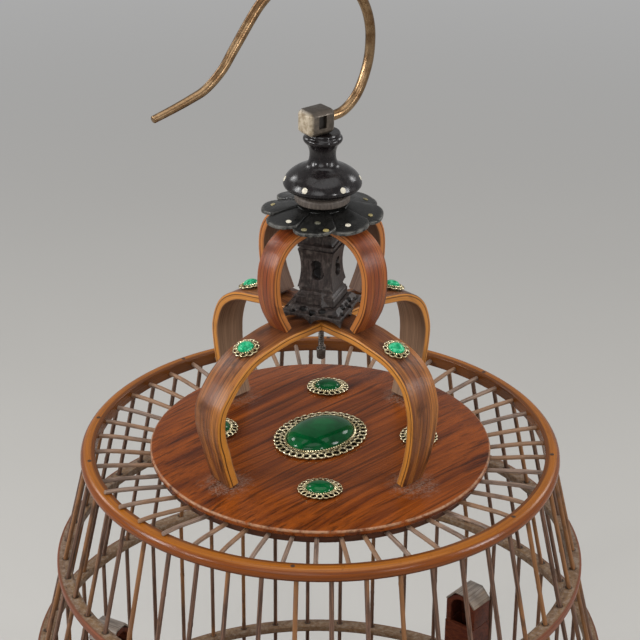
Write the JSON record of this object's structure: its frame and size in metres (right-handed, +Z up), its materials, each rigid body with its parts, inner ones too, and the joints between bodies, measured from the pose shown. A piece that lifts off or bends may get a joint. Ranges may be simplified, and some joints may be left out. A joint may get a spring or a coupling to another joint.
{
  "type": "songbird cage",
  "caption": "Round bamboo songbird cage with a jewelled wooden crown, a swivel hanging hook, a lifting door, a slide-out tray and hooded feeders.",
  "frame": {"origin": "centre of the cage's round plan at the level of the feet's undersides", "axes": "+Z up along the cage's axis, front with the door and the tray towards -Y, +X to the right seen from the front"},
  "size_m": [0.328, 0.328, 0.5852],
  "materials": {
    "bamboo_amber": "polished golden-amber bamboo with a red-brown outer face",
    "bamboo_weathered": "weathered grey-brown bamboo, satin",
    "bamboo_brown": "red-brown lacquered bamboo with fine lengthwise grain",
    "rosewood": "polished rosewood with dark streaks",
    "ebony": "polished black-brown ebony",
    "brass_aged": "aged brass, satin",
    "iron_dark": "dark aged iron",
    "filigree": "antique pale gilt filigree",
    "jade": "deep green polished jade, opaque"
  },
  "bodies": {
    "cage_frame": {"crown_ring": "bamboo_amber", "hoop_2": "bamboo_weathered", "hoop_3": "bamboo_weathered", "hoop_4": "bamboo_weathered", "wall_bars": "bamboo_weathered", "base_hoop": "bamboo_weathered", "spoke_wheel": "bamboo_weathered", "tray_runner_right": "bamboo_weathered", "tray_runner_left": "bamboo_weathered", "floor_grid": "bamboo_weathered", "lower_bow_a": "bamboo_brown", "lower_bow_b": "bamboo_brown", "arch_front_right": "bamboo_brown", "arch_back_right": "bamboo_brown", "arch_back_left": "bamboo_brown", "arch_front_left": "bamboo_brown", "perch": "bamboo_brown", "crown_disc": "rosewood", "foot_right": "rosewood", "foot_left": "rosewood", "foot_back": "rosewood", "base_plate": "ebony", "post": "ebony", "lotus_plate": "ebony", "finial_collar": "ebony", "finial": "ebony", "centre_setting": "filigree", "front_setting": "filigree", "right_setting": "filigree", "back_setting": "filigree", "left_setting": "filigree", "shoulder_front_right_setting": "filigree", "shoulder_back_right_setting": "filigree", "shoulder_back_left_setting": "filigree", "shoulder_front_left_setting": "filigree", "centre_stone": "jade", "front_stone": "jade", "right_stone": "jade", "back_stone": "jade", "left_stone": "jade", "shoulder_front_right_stone": "jade", "shoulder_back_right_stone": "jade", "shoulder_back_left_stone": "jade", "shoulder_front_left_stone": "jade"},
    "swivel_hook": {"hook": "brass_aged", "hook_block": "brass_aged", "tie_rod": "iron_dark", "rod_nut": "iron_dark", "rod_end_nut": "iron_dark"},
    "door": {"door": "bamboo_weathered", "door_knob": "brass_aged"},
    "tray": {"tray": "bamboo_brown", "tray_pull": "rosewood"},
    "feeder_left": {"feeder_left_cup": "bamboo_brown", "feeder_left_hood": "bamboo_weathered"},
    "feeder_right": {"feeder_right_cup": "bamboo_brown", "feeder_right_hood": "bamboo_weathered"}
  },
  "joints": [
    {"name": "hook_swivel", "type": "hinge", "parent": "cage_frame", "child": "swivel_hook", "pos_m": [0, 0, 0.4982], "axis": [0, 0, 1], "continuous": true},
    {"name": "door_lift", "type": "slide", "parent": "cage_frame", "child": "door", "axis": [0, 0, 1], "range_m": [0, 0.085]},
    {"name": "tray_slide", "type": "slide", "parent": "cage_frame", "child": "tray", "axis": [0, -1, 0], "range_m": [0, 0.26]},
    {"name": "feeder_left_lift", "type": "slide", "parent": "cage_frame", "child": "feeder_left", "axis": [0, 0, 1], "range_m": [0, 0.012]},
    {"name": "feeder_right_lift", "type": "slide", "parent": "cage_frame", "child": "feeder_right", "axis": [0, 0, 1], "range_m": [0, 0.012]}
  ]
}
